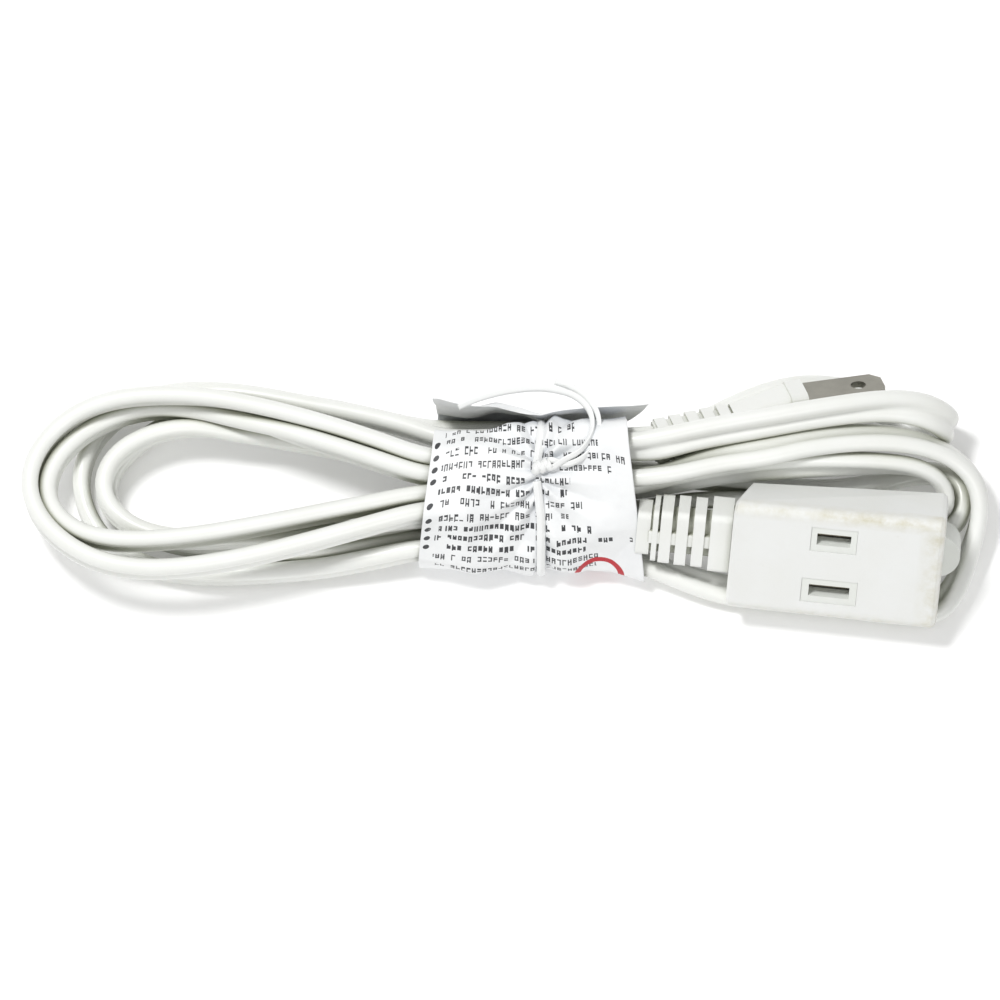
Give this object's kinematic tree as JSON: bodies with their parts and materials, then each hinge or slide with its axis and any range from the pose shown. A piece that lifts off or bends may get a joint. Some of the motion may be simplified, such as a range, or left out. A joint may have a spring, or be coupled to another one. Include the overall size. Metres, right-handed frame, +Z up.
{
  "type": "extension cord",
  "caption": "White flat two-wire household extension cord folded in a hank, with a polarised outlet block, a polarised plug, ribbed strain reliefs, a paper care label and a twist tie",
  "frame": {"origin": "under the middle of the outlet body with its strain relief, on the table", "axes": "+X runs along the outlet body from the cord to its far end, +Y points away from the viewer towards the plug, +Z is up from the table"},
  "size_m": [0.2051, 0.0625, 0.0279],
  "materials": {
    "housing_pvc": "satin",
    "relief_pvc": "satin",
    "carrier_plastic": "satin",
    "brass": "satin",
    "wire_pvc": "satin",
    "copper": "satin",
    "cord_pvc": "satin",
    "plug_pvc": "satin",
    "blade_metal": "satin",
    "label_paper": "matte",
    "tie_plastic": "satin",
    "tie_steel": "satin"
  },
  "bodies": {
    "cord_set": {"outlet_housing": "housing_pvc", "outlet_strain_relief": "relief_pvc", "carrier_front": "carrier_plastic", "carrier_back": "carrier_plastic", "line_contact": "brass", "neutral_contact": "brass", "line_crimp": "brass", "neutral_crimp": "brass", "line_wire": "wire_pvc", "neutral_wire": "wire_pvc", "outlet_strands": "copper", "cord_hank": "cord_pvc", "cord_outlet_lead": "cord_pvc", "cord_plug_lead": "cord_pvc", "plug_body": "plug_pvc", "plug_strain_relief": "plug_pvc", "plug_insert": "carrier_plastic", "line_blade": "blade_metal", "neutral_blade": "blade_metal", "plug_line_wire": "wire_pvc", "plug_neutral_wire": "wire_pvc", "plug_strands": "copper", "care_label": "label_paper", "twist_tie": "tie_plastic", "twist_tie_wire": "tie_steel"}
  },
  "joints": []
}
